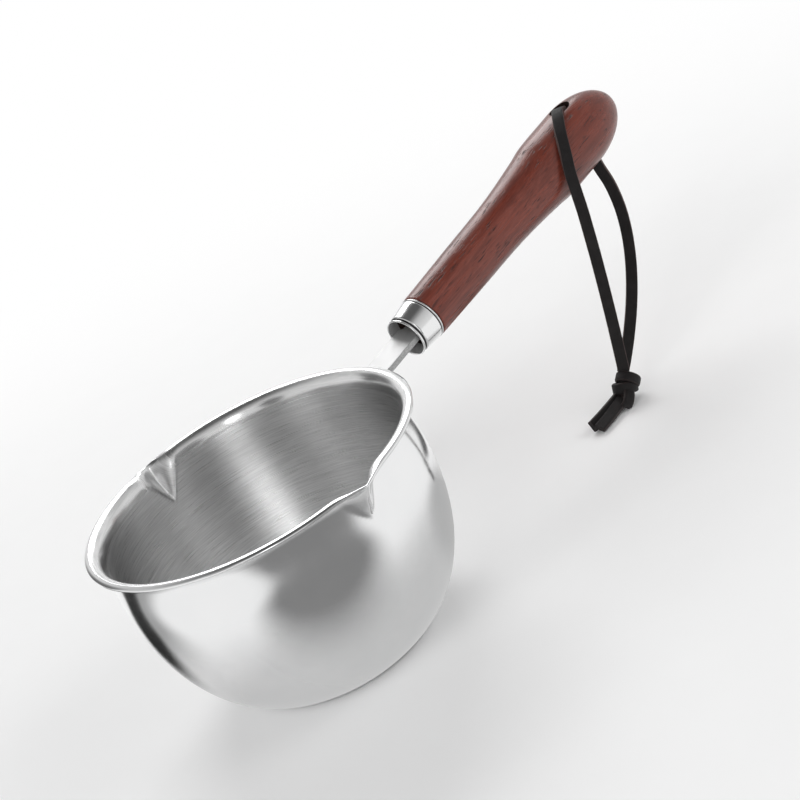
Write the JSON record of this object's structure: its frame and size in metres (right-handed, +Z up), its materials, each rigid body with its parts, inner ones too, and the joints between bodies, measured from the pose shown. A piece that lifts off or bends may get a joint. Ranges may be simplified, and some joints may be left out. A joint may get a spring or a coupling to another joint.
{
  "type": "oil heating pot",
  "caption": "Small polished steel pot with a flared lip, two pressed pouring spouts and a turned rosewood handle with a knotted leather hanging lace.",
  "frame": {"origin": "middle of the flat base, on the surface that the pot stands on", "axes": "+Z up, +X along the handle away from the bowl, the two spouts on -Y and +Y"},
  "size_m": [0.2723, 0.1252, 0.0985],
  "materials": {
    "polished_steel": "mirror polished outside, brushed inside",
    "bare_steel": "satin with rough cut edges",
    "rosewood": "oiled, satin, with fine pores",
    "leather": "matt flat lace with cut edges"
  },
  "bodies": {
    "pot": {"bowl": "polished_steel", "tang": "bare_steel", "ferrule": "polished_steel", "grip": "rosewood", "strap_bridge": "leather"},
    "strap_loop": {"strap_front_leg": "leather", "strap_back_leg": "leather", "strap_knot": "leather", "strap_end_left": "leather", "strap_end_right": "leather"}
  },
  "joints": [
    {"name": "strap_swing", "type": "hinge", "parent": "pot", "child": "strap_loop", "pos_m": [0.19385, 0, 0.06871], "axis": [0.8847, 0.4661, 0], "range_deg": [-45, 45]}
  ]
}
